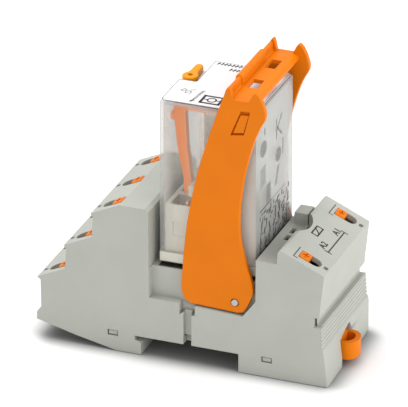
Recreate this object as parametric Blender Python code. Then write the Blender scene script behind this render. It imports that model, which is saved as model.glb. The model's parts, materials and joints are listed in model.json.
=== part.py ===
"""Plug-in relay module: rail socket with push-in terminals, relay and retaining bracket.

Frame: origin at the bottom of the feet, under the rail's centre line and half way across
the width. +X runs towards the coil terminals, +Y across the width, +Z up, off the rail.
Every size below is in millimetres; MM turns it into Blender's metres.
"""
import math

import bmesh
import bpy
from mathutils import Matrix, Vector

MM = 0.001

# Driving dimensions of the socket
WIDTH = 43.0
HALF = WIDTH / 2
WALL = 1.5
FOOT_REACH = 52.1
CHANNEL_HALF = 17.9
CHANNEL_ROOF = 6.5
SEAT_HALF = 15.4
HOOK_X = -15.8
BLOCK_END = -13.0
BLOCK_TOP = 52.5
SEAT_TOP = 31.7
POCKET_DEPTH = 2.8
POCKET_FLOOR = 21.2
POCKET_RIGHT = 23.7
LEDGE_Z = 41.1
COIL_TIP = (46.9, 39.5)
CROWN_X = 32.6
SCOOP = (24.6, 0.6, 9.8)
CAVITY_FLOOR = 9.5
CAVITY_HALF = HALF - 1.3

# The three steps of contact terminals
LEVELS = 3
LIP_X = -51.8
LIP_Z = 21.8
STEP_X = 9.4
STEP_Z = 13.0
FACE_ANGLE = math.radians(25)
FACE_RUN = 9.8
TOP_FACE_RUN = 10.1
COLUMNS = (-16.5, 0.0, 16.5)
COIL_FACE_ANGLE = math.radians(24)

# One terminal, measured along its sloping face from the face's outer lip
TEST_HOLE_AT = 1.3
WIRE_HOLE_AT = 4.9
BUTTON_AT = 8.8
SLOT_WIDTH = 4.5
SLOT_START = 2.9
SLOT_END = 10.7
BUTTON_LENGTH = 3.2
BUTTON_WIDTH = 3.9

# Relay
RELAY_LEFT = -11.0
RELAY_RIGHT = 22.0
RELAY_HALF = 17.0
RELAY_BOTTOM = 33.0
COVER_BOTTOM = 36.6
COVER_TOP = 89.6
RELAY_TOP = 90.2
NOTCH_X = -5.1
NOTCH_FLOOR = 86.0
COVER_WALL = 1.0
POLES = (-12.2, 0.0, 12.2)
BLADE_NC_X = -6.0
BLADE_NO_X = 2.4
BLADE_COM_X = 9.0
BLADE_COIL_X = 16.5
BLADE_END = 24.6
COIL_AXIS_Z = 70.0
ARMATURE_PIVOT = (-0.2, 83.9)
INDICATOR_PIVOT = (11.0, 85.8)

# Retaining bracket
PIVOT = (16.4, 24.5)
ARM_OUTER = 20.9
ARM_INNER = 19.0
PIN_RADIUS = 1.1
BRIDGE_TOP = 96.0

# Rail foot and test lever
FOOT_CENTRE_Y = -1.0
FOOT_HALF = 4.0
LEVER_AT = (-8.1, 3.2)

GREY = (0.455, 0.470, 0.430)
ORANGE = (0.840, 0.210, 0.010)
CREAM = (0.640, 0.630, 0.560)
STEEL = (0.560, 0.560, 0.540)
COPPER = (0.720, 0.370, 0.200)


# ---------------------------------------------------------------- tools

def material(name, colour, roughness=0.5, metallic=0.0, alpha=1.0):
    """A Principled material, made once per name."""
    found = bpy.data.materials.get(name)
    if found:
        return found
    made = bpy.data.materials.new(name)
    made.use_nodes = True
    shader = made.node_tree.nodes["Principled BSDF"]
    shader.inputs["Base Color"].default_value = (*colour, 1.0)
    shader.inputs["Roughness"].default_value = roughness
    shader.inputs["Metallic"].default_value = metallic
    shader.inputs["Alpha"].default_value = alpha
    return made


def place(axis, first, second, along):
    """A point from two outline coordinates and its place along the extrusion axis."""
    point = {"X": (along, first, second), "Y": (first, along, second), "Z": (first, second, along)}[axis]
    return Vector(point) * MM


def add_prism(bm, outline, axis, low, high):
    """Add one closed extrusion of an outline between two planes."""
    rings = []
    for along in (low, high):
        rings.append([bm.verts.new(place(axis, a, b, along)) for a, b in outline])
    bottom, top = rings
    bm.faces.new(bottom)
    bm.faces.new(top)
    count = len(outline)
    for i in range(count):
        j = (i + 1) % count
        bm.faces.new((bottom[i], bottom[j], top[j], top[i]))


def solid(name, prisms):
    """An object made of separate extrusions, given as (outline, axis, low, high)."""
    bm = bmesh.new()
    for outline, axis, low, high in prisms:
        add_prism(bm, outline, axis, low, high)
    bmesh.ops.recalc_face_normals(bm, faces=bm.faces)
    mesh = bpy.data.meshes.new(name)
    bm.to_mesh(mesh)
    bm.free()
    made = bpy.data.objects.new(name, mesh)
    bpy.context.collection.objects.link(made)
    return made


def rectangle(low_a, high_a, low_b, high_b):
    return [(low_a, low_b), (high_a, low_b), (high_a, high_b), (low_a, high_b)]


def block(low, high):
    """One box as an extrusion along Z."""
    return (rectangle(low[0], high[0], low[1], high[1]), "Z", low[2], high[2])


def disc(centre_a, centre_b, radius, sides=20):
    step = 2 * math.pi / sides
    turns = [i * step for i in range(sides)]
    return [(centre_a + radius * math.cos(turn), centre_b + radius * math.sin(turn)) for turn in turns]


def strip(points, thickness):
    """The outline of a bent strip of even thickness along a line of points."""
    half = thickness / 2
    left, right = [], []
    for i, point in enumerate(points):
        here = Vector(point)
        before = (here - Vector(points[i - 1])).normalized() if i else None
        after = (Vector(points[i + 1]) - here).normalized() if i < len(points) - 1 else None
        before = before or after
        after = after or before
        normal = Vector((-(before + after).y, (before + after).x)).normalized()
        reach = half / max(0.35, normal.dot(Vector((-before.y, before.x))))
        left.append(tuple(here + normal * reach))
        right.append(tuple(here - normal * reach))
    return left + right[::-1]


def combine(target, tool, operation):
    """Cut or join two closed objects and keep the result on the first."""
    modifier = target.modifiers.new("combine", "BOOLEAN")
    modifier.operation = operation
    modifier.solver = "EXACT"
    modifier.object = tool
    graph = bpy.context.evaluated_depsgraph_get()
    mesh = bpy.data.meshes.new_from_object(target.evaluated_get(graph))
    target.modifiers.clear()
    target.data = mesh
    bpy.data.objects.remove(tool)


def cut(target, prisms):
    combine(target, solid("cutter", prisms), "DIFFERENCE")


def join(target, prisms):
    combine(target, solid("addition", prisms), "UNION")


def finish(obj, look, smooth_below=None):
    """Set the material, and shade round faces smooth."""
    obj.data.materials.clear()
    obj.data.materials.append(look)
    if smooth_below:
        obj.data.shade_smooth()
        obj.data.set_sharp_from_angle(angle=math.radians(smooth_below))
    return obj


def set_origin(obj, x, y, z):
    """Put the object's origin on its joint's axis without moving its shape."""
    offset = Vector((x, y, z)) * MM
    obj.data.transform(Matrix.Translation(-offset))
    obj.location = offset


# ---------------------------------------------------------------- terminals

def terminal_frames():
    """Name, lip point, direction along the face, angle and Y of all eleven terminals."""
    frames = []
    for level in range(LEVELS):
        for column, y in enumerate(COLUMNS):
            name = f"contact_{level + 1}{column + 1}"
            frames.append((name, (LIP_X + level * STEP_X, LIP_Z + level * STEP_Z), 1, FACE_ANGLE, y))
    frames.append(("coil_a2", COIL_TIP, -1, COIL_FACE_ANGLE, COLUMNS[0]))
    frames.append(("coil_a1", COIL_TIP, -1, COIL_FACE_ANGLE, COLUMNS[2]))
    return frames


def face_point(lip, side, angle, along, depth):
    """A point (x, z) at a distance along a terminal face and a depth below it."""
    x = lip[0] + side * (along * math.cos(angle) + depth * math.sin(angle))
    z = lip[1] + along * math.sin(angle) - depth * math.cos(angle)
    return (x, z)


def tilted_prism(lip, side, angle, y, outline, above, below):
    """Vertices and faces of an outline (along, across) pushed through a terminal face."""
    rings = []
    for depth in (-above, below):
        ring = []
        for along, across in outline:
            x, z = face_point(lip, side, angle, along, depth)
            ring.append((x, y + across, z))
        rings.append(ring)
    return rings


def tilted_solid(name, parts):
    """An object made of separate tilted prisms."""
    bm = bmesh.new()
    for rings in parts:
        bottom, top = [[bm.verts.new(Vector(p) * MM) for p in ring] for ring in rings]
        bm.faces.new(bottom)
        bm.faces.new(top)
        count = len(bottom)
        for i in range(count):
            j = (i + 1) % count
            bm.faces.new((bottom[i], bottom[j], top[j], top[i]))
    bmesh.ops.recalc_face_normals(bm, faces=bm.faces)
    mesh = bpy.data.meshes.new(name)
    bm.to_mesh(mesh)
    bm.free()
    made = bpy.data.objects.new(name, mesh)
    bpy.context.collection.objects.link(made)
    return made


def slot_outline():
    """Wire hole and button slot in one: round at the wire end, square at the other."""
    half = SLOT_WIDTH / 2
    centre = SLOT_START + half
    outline = [(SLOT_END, -half), (SLOT_END, half)]
    for i in range(7):
        turn = math.pi / 2 + math.pi * i / 6
        outline.append((centre + half * math.cos(turn), half * math.sin(turn)))
    return outline


def button_outline():
    """A rectangle across the face with its corners cut off."""
    a, b = BUTTON_LENGTH / 2, BUTTON_WIDTH / 2
    corner = 0.7
    outline = [(a, corner - b), (a, b - corner), (a - corner, b), (corner - a, b)]
    outline += [(-a, b - corner), (-a, corner - b), (corner - a, -b), (a - corner, -b)]
    return [(BUTTON_AT + along, across) for along, across in outline]


def cut_terminals(housing):
    """Cut the wire and button slots and the small test holes of all terminals."""
    slots, holes = [], []
    for _, lip, side, angle, y in terminal_frames():
        slots.append(tilted_prism(lip, side, angle, y, slot_outline(), 2.0, 3.2))
        square = rectangle(TEST_HOLE_AT - 0.7, TEST_HOLE_AT + 0.7, -0.8, 0.8)
        holes.append(tilted_prism(lip, side, angle, y, square, 2.0, 1.2))
    combine(housing, tilted_solid("cutter", slots), "DIFFERENCE")
    combine(housing, tilted_solid("cutter", holes), "DIFFERENCE")


def release_buttons():
    """Eleven orange buttons, each sliding into its terminal face."""
    look = material("orange_button", ORANGE, 0.4)
    for name, lip, side, angle, y in terminal_frames():
        shape = tilted_prism(lip, side, angle, y, button_outline(), 0.35, 4.0)
        button = tilted_solid(f"button_{name}", [shape])
        x, z = face_point(lip, side, angle, BUTTON_AT, 0)
        set_origin(button, x, y, z)
        finish(button, look)


def terminal_contact(name, lip, side, angle, y, blade_x, run_z, strip_y):
    """Current bar with its clamp spring at one end and a blade fork at the other."""
    def at(along, depth):
        return face_point(lip, side, angle, along, depth)

    bar = [at(WIRE_HOLE_AT - 2.3, 2.6), at(WIRE_HOLE_AT - 2.3, 9.0)]
    turn_x = at(WIRE_HOLE_AT, 10.6)[0]
    bar += [(turn_x, at(WIRE_HOLE_AT, 10.6)[1]), (turn_x, run_z), (blade_x, run_z), (blade_x, 23.4)]
    spring = [at(WIRE_HOLE_AT - 2.3, 8.2), at(BUTTON_AT + 0.6, 8.2)]
    spring += [at(BUTTON_AT + 1.0, 6.0), at(WIRE_HOLE_AT - 1.0, 6.4)]
    fork = [(-1.5, 23.0), (1.5, 23.0), (1.5, 29.2), (0.75, 29.2)]
    fork += [(0.75, 24.3), (-0.75, 24.3), (-0.75, 29.2), (-1.5, 29.2)]
    contact = solid(name, [(strip(bar[:3], 0.8), "Y", y - 2.6, y + 2.6)])
    low, high = sorted((strip_y - 1.5, strip_y + 1.5))
    reach_low = min(low, y - 1.0)
    reach_high = max(high, y + 1.0)
    join(contact, [(strip(bar[2:4], 0.81), "Y", reach_low, reach_high)])
    join(contact, [(strip([bar[2]] + bar[3:5], 0.8), "Y", low, high)])
    join(contact, [(strip(bar[4:], 0.79), "Y", low + 0.1, high - 0.1)])
    join(contact, [(strip(spring, 0.5), "Y", y - 2.3, y + 2.3)])
    join(contact, [([(blade_x + a, b) for a, b in fork], "Y", low - 0.2, high + 0.2)])
    finish(contact, material("copper_alloy", COPPER, 0.35, 1.0))


def terminal_contacts():
    """Level 1 feeds the common blades, level 2 the make side, level 3 the break side."""
    blades = (BLADE_COM_X, BLADE_NO_X, BLADE_NC_X)
    runs = (12.4, 16.2, 20.0)
    for index, (name, lip, side, angle, y) in enumerate(terminal_frames()):
        strip_y = POLES[COLUMNS.index(y)]
        if side > 0:
            level = index // len(COLUMNS)
            terminal_contact(f"terminal_{name}", lip, side, angle, y, blades[level], runs[level], strip_y)
        else:
            terminal_contact(f"terminal_{name}", lip, side, angle, y, BLADE_COIL_X, runs[2], strip_y)


# ---------------------------------------------------------------- socket

def left_profile():
    """Stepped side of the socket, from the foot's corner up to the flat top."""
    points = [(-FOOT_REACH, 6.5), (-52.0, 9.2), (-50.5, 11.2), (-50.6, LIP_Z - 0.9)]
    for level in range(LEVELS):
        lip_x = LIP_X + level * STEP_X
        lip_z = LIP_Z + level * STEP_Z
        run = TOP_FACE_RUN if level == LEVELS - 1 else FACE_RUN
        if level:
            points.append((lip_x + 0.9, lip_z - 1.2))
        points.append((lip_x, lip_z))
        points.append((lip_x + run, lip_z + run * math.tan(FACE_ANGLE)))
    points += [(-14.4, BLOCK_TOP), (BLOCK_END, BLOCK_TOP - 0.8)]
    return points


def right_profile():
    """Coil terminal side, from the relay's well down to the foot."""
    slope = math.tan(COIL_FACE_ANGLE)
    crown_z = COIL_TIP[1] + (COIL_TIP[0] - CROWN_X) * slope
    points = [(POCKET_RIGHT, SEAT_TOP), (POCKET_RIGHT, LEDGE_Z), (30.9, LEDGE_Z)]
    points += [(31.1, crown_z - 0.6), (31.7, crown_z + 0.1), (CROWN_X, crown_z)]
    points += [COIL_TIP, (45.6, 27.4), (45.4, 24.3), (44.2, 24.1), (44.3, 21.0), (46.0, 21.1)]
    for rib in range(6):
        z = 20.3 - 1.4 * rib
        x = 46.0 + 0.08 * rib
        points += [(x, z + 0.35), (x - 0.5, z), (x, z - 0.35)]
    points += [(46.8, 12.4), (47.2, 9.6), (48.4, 0.0)]
    return points


def channel_profile():
    """Underside: right foot, rail channel, fixed hook and the sloping left foot."""
    points = [(CHANNEL_HALF, 0.0), (CHANNEL_HALF, CHANNEL_ROOF), (-CHANNEL_HALF, CHANNEL_ROOF)]
    points += [(-CHANNEL_HALF, 5.0), (HOOK_X, 4.4), (HOOK_X, 0.0), (-24.4, 0.0), (-38.8, 3.1)]
    return points


def housing_outline():
    """Closed outline of the socket seen from its front side."""
    return left_profile() + [(BLOCK_END, SEAT_TOP)] + right_profile() + channel_profile()


def pocket_outline():
    """Recess beside the relay in which a bracket arm swings."""
    return [(-12.9, POCKET_FLOOR), (2.9, POCKET_FLOOR), (3.0, 20.9), (19.2, 20.2), (POCKET_RIGHT, 26.3),
            (POCKET_RIGHT, LEDGE_Z + 5), (-12.9, LEDGE_Z + 5)]


def housing_cavities(housing):
    """Hollow the socket for its contacts; every room opens downwards."""
    drop = WALL / math.cos(FACE_ANGLE)
    steps = [(-49.0, CAVITY_FLOOR - 1)]
    for level in range(LEVELS):
        lip_x = LIP_X + level * STEP_X
        lip_z = LIP_Z + level * STEP_Z
        start = lip_x + 2.3
        end = lip_x + FACE_RUN + 1.9 if level < LEVELS - 1 else lip_x + TOP_FACE_RUN
        for x in (start, end):
            steps.append((x, lip_z + (x - lip_x) * math.tan(FACE_ANGLE) - drop))
    steps[1] = (-49.0, steps[1][1] + 0.2)
    steps += [(-14.6, BLOCK_TOP - 1.8), (-14.6, CAVITY_FLOOR - 1)]
    rooms = []
    for low, high in ((-CAVITY_HALF, -8.9), (-8.0, 8.0), (8.9, CAVITY_HALF)):
        rooms.append((steps, "Y", low, high))
    cut(housing, rooms)
    seat_half = HALF - POCKET_DEPTH - WALL
    cut(housing, [block((-15.5, -seat_half, CAVITY_FLOOR - 1), (26.5, seat_half, SEAT_TOP - 2.0))])
    slope = math.tan(COIL_FACE_ANGLE)
    top_right = COIL_TIP[1] + 3.0 * slope - 2.0
    coil_room = [(25.3, CAVITY_FLOOR - 1), (42.6, CAVITY_FLOOR - 1), (42.6, 25.6), (43.9, 27.6)]
    coil_room += [(43.9, top_right), (36.0, top_right + 7.9 * slope), (32.9, LEDGE_Z + 1.5)]
    coil_room += [(32.4, LEDGE_Z - 1.5), (25.3, LEDGE_Z - 1.5)]
    cut(housing, [(coil_room, "Y", -CAVITY_HALF, CAVITY_HALF)])
    bottom = [(-49.0, -1.0), (44.9, -1.0), (44.9, CAVITY_FLOOR), (-49.0, CAVITY_FLOOR)]
    cut(housing, [(bottom, "Y", -CAVITY_HALF + 0.03, CAVITY_HALF - 0.03)])


def blade_places():
    """X and Y of the eleven relay blades with their names."""
    places = []
    for number, y in enumerate(POLES):
        for kind, x in (("break", BLADE_NC_X), ("make", BLADE_NO_X), ("common", BLADE_COM_X)):
            places.append((f"{kind}_blade_{number + 1}", x, y))
    places.append(("coil_blade_1", BLADE_COIL_X, POLES[0]))
    places.append(("coil_blade_2", BLADE_COIL_X, POLES[2]))
    return places


def blade_slots(low, high):
    """Prisms slightly larger than a relay blade, for cutting its slots."""
    return [block((x - 0.75, y - 2.75, low), (x + 0.75, y + 2.75, high)) for _, x, y in blade_places()]


def groove_head():
    """Widened upper end of the groove below the bracket's heel."""
    top = POCKET_FLOOR + 0.5
    return [(-2.4, 17.1), (-0.6, 18.5), (1.72, 18.5), (1.72, 17.4), (2.9, 17.4), (2.9, top), (-2.4, top)]


def coil_scoop(housing):
    """Ledge behind the relay: finger scoop, raised tab, its gap and two slots."""
    x, y, radius = SCOOP
    join(housing, [block((32.0, -10.6, LEDGE_Z - 1.7), (35.9, 10.6, LEDGE_Z + 1.6))])
    cut(housing, [(disc(x, y, radius, 48), "Z", LEDGE_Z, 48.0)])
    join(housing, [block((26.0, 7.9, LEDGE_Z - 1.0), (30.6, 14.0, LEDGE_Z + 4.2))])
    cut(housing, [block((30.9, 4.6, LEDGE_Z - 3), (33.4, 7.6, LEDGE_Z + 0.1)),
                  block((26.5, -4.2, LEDGE_Z - 3), (28.1, -0.6, LEDGE_Z + 1)),
                  block((26.5, 1.2, LEDGE_Z - 3), (28.1, 4.8, LEDGE_Z + 1))])


def make_housing():
    """Grey socket shell with terminal faces, relay seat and bracket pockets."""
    housing = solid("housing", [(housing_outline(), "Y", -HALF, HALF)])
    for side in (-1, 1):
        low, high = sorted((side * (HALF - POCKET_DEPTH), side * (HALF + 1)))
        cut(housing, [(pocket_outline(), "Y", low, high)])
        low, high = sorted((side * (HALF - 1.6), side * (HALF + 1)))
        cut(housing, [(rectangle(-1.1, 1.7, CHANNEL_ROOF - 1, 18.9), "Y", low, high)])
        low, high = sorted((side * (HALF - 2.5), side * (HALF + 1)))
        cut(housing, [(groove_head(), "Y", low, high)])
        low, high = sorted((side * (HALF - 1.5), side * (HALF + 1)))
        cut(housing, [(rectangle(43.5, 48.0, 20.7, 24.2), "Y", low, high)])
    housing_cavities(housing)
    coil_scoop(housing)
    cut_terminals(housing)
    cut(housing, blade_slots(SEAT_TOP - 3, SEAT_TOP + 1))
    cut(housing, [(rectangle(-27.4, -23.7, 5.2, 7.2), "Y", -HALF - 1, HALF + 1)])
    cut(housing, [(rectangle(25.7, 29.4, 5.1, 7.1), "Y", -HALF - 1, HALF + 1)])
    cut(housing, [(disc(PIVOT[0], PIVOT[1], PIN_RADIUS + 0.3), "Y", -HALF, HALF)])
    gap = FOOT_HALF + 1.3
    arch = [(FOOT_CENTRE_Y - gap, -1.0), (FOOT_CENTRE_Y + gap, -1.0), (FOOT_CENTRE_Y + gap, 9.5)]
    arch += [(FOOT_CENTRE_Y + 4.2, 11.6), (FOOT_CENTRE_Y + 2.6, 11.6), (FOOT_CENTRE_Y - gap, 9.5)]
    cut(housing, [(arch, "X", 40.0, 50.0)])
    cut(housing, [([(48.5, -22.0), (47.0, 22.0), (52.0, 22.0), (52.0, -22.0)], "Z", -1.0, 12.4)])
    finish(housing, material("housing_grey", GREY, 0.55))


def make_base_plate():
    """Closing piece on the rail side, held by latch noses in the shell's windows."""
    half = CAVITY_HALF - 0.35
    top = CAVITY_FLOOR - 0.6
    outline = [(-48.6, top), (-48.6, 6.1), (-38.8, 3.1), (-24.4, 0.0), (HOOK_X, 0.0), (HOOK_X, 4.4)]
    relief = CHANNEL_ROOF + 0.3
    outline += [(-CHANNEL_HALF, 5.0), (-CHANNEL_HALF, relief), (-SEAT_HALF, relief)]
    outline += [(-SEAT_HALF, CHANNEL_ROOF)]
    outline += [(SEAT_HALF, CHANNEL_ROOF), (SEAT_HALF, relief), (CHANNEL_HALF, relief)]
    outline += [(CHANNEL_HALF, 0.0), (44.5, 0.0), (44.5, top)]
    plate = solid("base_plate", [(outline, "Y", -half, half)])
    join(plate, [block((-27.1, -HALF + 0.4, 5.5), (-24.0, HALF - 0.4, 6.9)),
                 block((26.0, -HALF + 0.4, 5.4), (29.1, HALF - 0.4, 6.8))])
    cut(plate, [block((-1.0, -half - 1, 6.0), (1.6, 1.6 - half, top + 1)),
                block((-1.0, half - 1.6, 6.0), (1.6, half + 1, top + 1))])
    inner = half - WALL
    left_room = [(-46.4, top + 1), (-46.4, 7.6), (-38.4, 5.1), (-24.2, 2.0), (-20.0, 2.0), (-20.0, top + 1)]
    cut(plate, [(left_room, "Y", -inner, inner)])
    channel = FOOT_HALF + 0.3
    right_room = rectangle(20.0, 43.0, 2.0, top + 1)
    cut(plate, [(right_room, "Y", -inner, FOOT_CENTRE_Y - channel - WALL),
                (right_room, "Y", FOOT_CENTRE_Y + channel + WALL, inner)])
    cut(plate, [block((16.0, FOOT_CENTRE_Y - channel, 1.0), (46.0, FOOT_CENTRE_Y + channel, 5.2))])
    slit = channel - 1.3
    cut(plate, [block((16.0, FOOT_CENTRE_Y - slit, -1.0), (46.0, FOOT_CENTRE_Y + slit, 1.5))])
    finish(plate, material("housing_grey", GREY, 0.55))


def make_rail_foot():
    """Orange sliding foot: latch nose under the rail, bar, and a hollow pull cup."""
    bar = [(15.9, 3.6), (17.0, 1.3), (47.0, 1.3), (47.0, 4.9), (15.9, 4.9)]
    foot = solid("rail_foot", [(bar, "Y", FOOT_CENTRE_Y - FOOT_HALF, FOOT_CENTRE_Y + FOOT_HALF)])
    reach = FOOT_REACH - 48.2
    head = [(45.3, FOOT_CENTRE_Y - 4.9), (48.2, FOOT_CENTRE_Y - 4.9)]
    for i in range(1, 12):
        turn = -math.pi / 2 + math.pi * i / 12
        head.append((48.2 + reach * math.cos(turn), FOOT_CENTRE_Y + 4.9 * math.sin(turn)))
    head += [(48.2, FOOT_CENTRE_Y + 4.9), (45.3, FOOT_CENTRE_Y + 4.9)]
    join(foot, [(head, "Z", 2.6, 8.7)])
    join(foot, [(rectangle(45.31, 46.5, FOOT_CENTRE_Y - 3.4, FOOT_CENTRE_Y + 3.4), "Z", 8.0, 9.6)])
    cup = [(46.6 + (a - 46.6) * 0.68, FOOT_CENTRE_Y + (b - FOOT_CENTRE_Y) * 0.68) for a, b in head if a > 46]
    cup += [(46.6, FOOT_CENTRE_Y + 3.33), (46.6, FOOT_CENTRE_Y - 3.33)]
    cut(foot, [(cup, "Z", 5.4, 13.0)])
    set_origin(foot, 48.2, FOOT_CENTRE_Y, 4.0)
    finish(foot, material("orange_foot", ORANGE, 0.4), 40)


# ---------------------------------------------------------------- bracket

def smooth_line(points, steps):
    """Points along a Catmull-Rom curve through an open list of points."""
    knots = [Vector(p) for p in points]
    knots = [knots[0] * 2 - knots[1]] + knots + [knots[-1] * 2 - knots[-2]]
    made = []
    for a, b, c, d in zip(knots, knots[1:], knots[2:], knots[3:]):
        for k in range(steps):
            t = k / steps
            bend = (2 * a - 5 * b + 4 * c - d) * t * t + (3 * b - a - 3 * c + d) * t ** 3
            made.append(tuple(b + ((c - a) * t + bend) / 2))
    return made + [tuple(knots[-2])]


def arm_outline():
    """One arm: broad heel at the pivot, slim waist, wide head with two horns."""
    left = [(12.7, 97.4), (10.9, 92.4), (7.8, 83.0), (3.2, 67.0), (-0.3, 48.2), (-1.8, 30.7), (-2.0, 26.5)]
    heel = [(-1.5, 24.1), (-0.4, 22.4), (1.4, 21.5), (17.4, 20.9), (19.3, 21.4), (20.7, 23.6)]
    right = [(22.3, 27.6), (22.6, 29.6), (21.8, 33.8), (18.6, 44.2), (17.8, 54.6), (19.2, 67.9)]
    right += [(21.8, 79.0), (24.2, 86.2), (26.3, 90.2), (26.6, 92.6), (25.6, 96.0)]
    horn_right = [(24.4, 98.3), (23.5, 99.2), (22.8, 99.3), (22.2, 98.6), (20.9, BRIDGE_TOP)]
    horn_left = [(15.4, BRIDGE_TOP), (14.9, 98.6), (14.5, 99.8), (14.0, 100.1), (13.5, 99.6)]
    return smooth_line(left, 3) + heel + smooth_line(right, 3) + horn_right + horn_left


def make_bracket():
    """Orange U: two arms joined by a channel-shaped bridge above the relay."""
    outline = arm_outline()
    bracket = solid("bracket", [(outline, "Y", -ARM_OUTER, -ARM_INNER), (outline, "Y", ARM_INNER, ARM_OUTER)])
    span = ARM_OUTER - 0.4
    floor = BRIDGE_TOP - 0.05
    bridge = [(12.4, 93.6), (21.8, 93.1), (22.7, 93.6), (23.0, 94.4), (22.7, 95.2), (21.8, 95.7)]
    bridge += [(20.6, floor), (14.6, floor), (14.2, 96.3), (14.1, 98.6)]
    bridge += [(13.7, 99.0), (13.1, 98.9), (12.0, 95.4)]
    join(bracket, [(bridge, "Y", -span, span)])
    ridge = [(12.2, 96.0), (14.0, 96.5), (14.0, 99.3), (13.5, 99.8), (12.8, 99.6), (12.3, 98.8)]
    join(bracket, [(ridge, "Y", -9.6, 11.5)])
    windows = []
    for y in (-7.0, 9.0):
        windows.append(block((16.2, y - 3.3, 90.0), (19.8, y + 3.3, 99.0)))
    cut(bracket, windows)
    lugs = []
    for side in (-1, 1):
        low, high = sorted((side * 15.6, side * (ARM_INNER + 0.6)))
        lugs.append(block((-0.8, low, 31.98), (3.2, high, 32.68)))
    join(bracket, lugs)
    recess = [(18.3, 92.4), (21.4, 92.6), (19.3, 84.2), (14.9, 83.5)]
    for side in (-1, 1):
        low, high = sorted((side * (ARM_OUTER - 0.7), side * (ARM_OUTER + 1)))
        cut(bracket, [(recess, "Y", low, high)])
    cut(bracket, [(disc(PIVOT[0], PIVOT[1], PIN_RADIUS + 0.3), "Y", -HALF, HALF)])
    set_origin(bracket, PIVOT[0], 0, PIVOT[1])
    finish(bracket, material("bracket_orange", ORANGE, 0.42))


def pivot_pins():
    """Two short pins through the arms into the socket's walls."""
    for name, side in (("pivot_pin_front", -1), ("pivot_pin_rear", 1)):
        low, high = sorted((side * 17.5, side * 21.2))
        pin = solid(name, [(disc(PIVOT[0], PIVOT[1], PIN_RADIUS), "Y", low, high)])
        finish(pin, material("pin_grey", STEEL, 0.4), 40)


# ---------------------------------------------------------------- relay

def relay_plan(inset):
    """Plan of the relay's cover, drawn in from its outside."""
    return rectangle(RELAY_LEFT + inset, RELAY_RIGHT - inset, -RELAY_HALF + inset, RELAY_HALF - inset)


def make_cover():
    """Clear cover, open below, with a corner notch for the test lever."""
    cover = solid("relay_cover", [(relay_plan(0), "Z", COVER_BOTTOM, COVER_TOP)])
    notch = rectangle(RELAY_LEFT - 1, NOTCH_X, 0.0, RELAY_HALF + 1)
    cut(cover, [(notch, "Z", NOTCH_FLOOR, COVER_TOP + 1)])
    inside = relay_plan(COVER_WALL)
    cut(cover, [(inside, "Z", COVER_BOTTOM - 1, NOTCH_FLOOR - COVER_WALL)])
    left = RELAY_LEFT + COVER_WALL
    right = RELAY_RIGHT - COVER_WALL
    half = RELAY_HALF - COVER_WALL
    upper = [(left, -half), (right, -half), (right, half), (NOTCH_X + COVER_WALL, half)]
    upper += [(NOTCH_X + COVER_WALL, -COVER_WALL), (left, -COVER_WALL)]
    cut(cover, [(upper, "Z", NOTCH_FLOOR - 2 * COVER_WALL, COVER_TOP - COVER_WALL)])
    cut(cover, [(disc(LEVER_AT[0], LEVER_AT[1], 1.5), "Z", NOTCH_FLOOR - 3, NOTCH_FLOOR + 1)])
    finish(cover, material("clear_cover", (0.9, 0.92, 0.93), 0.08, 0.0, 0.25))


def make_label():
    """White marking plate on top of the cover."""
    edge = 0.6
    plan = [(RELAY_LEFT + edge, -RELAY_HALF + edge), (RELAY_RIGHT - edge, -RELAY_HALF + edge),
            (RELAY_RIGHT - edge, RELAY_HALF - edge), (NOTCH_X + edge, RELAY_HALF - edge),
            (NOTCH_X + edge, -edge), (RELAY_LEFT + edge, -edge)]
    label = solid("relay_label", [(plan, "Z", COVER_TOP + 0.3, RELAY_TOP)])
    finish(label, material("label_white", (0.84, 0.84, 0.84), 0.5))


def make_relay_base():
    """Cream base with its blade slots and three contact chambers open at the top."""
    base = solid("relay_base", [(relay_plan(0.1), "Z", RELAY_BOTTOM, COVER_BOTTOM - 0.3)])
    join(base, [block((-9.5, -15.6, COVER_BOTTOM - 1), (20.5, 15.6, 40.0))])
    join(base, [block((-9.4, -15.7, 39.0), (6.4, 15.7, 53.0))])
    for low, high in ((-14.9, -7.8), (-5.4, 5.4), (7.8, 14.9)):
        cut(base, [block((-7.9, low, 40.5), (4.9, high, 54.0))])
    for side in (-1, 1):
        low, high = sorted((side * 15.5, side * 16.0))
        cut(base, [(rectangle(-6.8, 4.2, 42.0, 47.0), "Y", low, high)])
    cut(base, blade_slots(RELAY_BOTTOM - 1, 41.5))
    finish(base, material("relay_cream", CREAM, 0.5))


def relay_blades():
    """Plug blades, the fixed ones carrying a contact tip inside the relay."""
    look = material("copper_alloy", COPPER, 0.35, 1.0)
    for name, x, y in blade_places():
        if name.startswith("break"):
            line = [(x, BLADE_END), (x, 42.0), (-2.4, 43.6), (-2.4, 54.2)]
            tip = (-2.6, -1.4)
        elif name.startswith("make"):
            line = [(x, BLADE_END), (x, 42.0), (3.5, 43.0), (3.5, 54.6)]
            tip = (2.45, 3.6)
        elif name.startswith("common"):
            line = [(x, BLADE_END), (x, 56.0)]
            tip = None
        else:
            line = [(x, BLADE_END), (x, 50.0), (x + 0.6, 52.0), (x + 0.6, 57.0)]
            tip = None
        blade = solid(name, [(strip(line, 0.8), "Y", y - 2.4, y + 2.4)])
        if tip:
            join(blade, [(disc(y, 49.0, 1.3, 12), "X", tip[0], tip[1])])
        finish(blade, look)


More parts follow.
